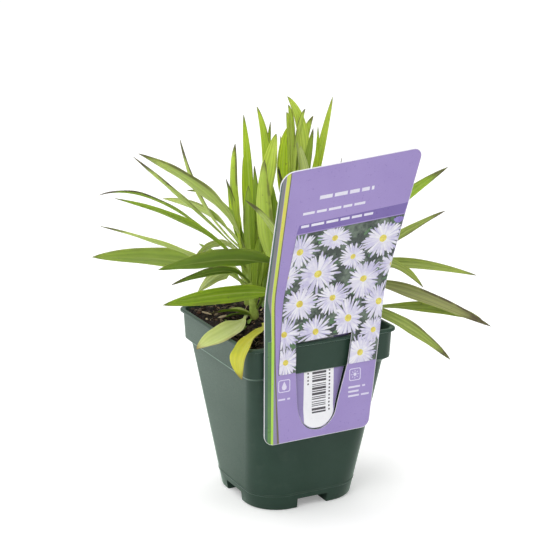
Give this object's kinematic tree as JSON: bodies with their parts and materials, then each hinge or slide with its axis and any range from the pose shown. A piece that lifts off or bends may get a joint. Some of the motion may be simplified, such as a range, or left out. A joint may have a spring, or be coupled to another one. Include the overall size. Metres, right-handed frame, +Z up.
{
  "type": "potted perennial aster",
  "caption": "Young aster with narrow upright and spreading leaves in a square nursery pot of soil, with a tall picture label hung on the pot's rim.",
  "frame": {"origin": "middle of the pot's foot, on the ground", "axes": "+Z up along the pot's axis, -Y towards the side that the label hangs on, +X to the right of one who reads the label"},
  "size_m": [0.2179, 0.1425, 0.2273],
  "materials": {
    "pot": "satin moulded plastic",
    "soil": "damp peat and bark crumbs",
    "label": "printed plastic card",
    "leaf": "living leaf, satin",
    "pale_leaf": "ageing leaf, dull",
    "yellow_leaf": "yellowed leaf, dull"
  },
  "bodies": {
    "root": {"pot": "pot", "soil": "soil", "label_card": "label", "shoot_left": "leaf", "shoot_front": "leaf", "shoot_centre": "leaf", "shoot_right": "leaf", "shoot_back_right": "leaf", "shoot_back_left": "leaf", "pale_leaf": "pale_leaf", "yellow_leaf": "yellow_leaf"}
  },
  "joints": []
}
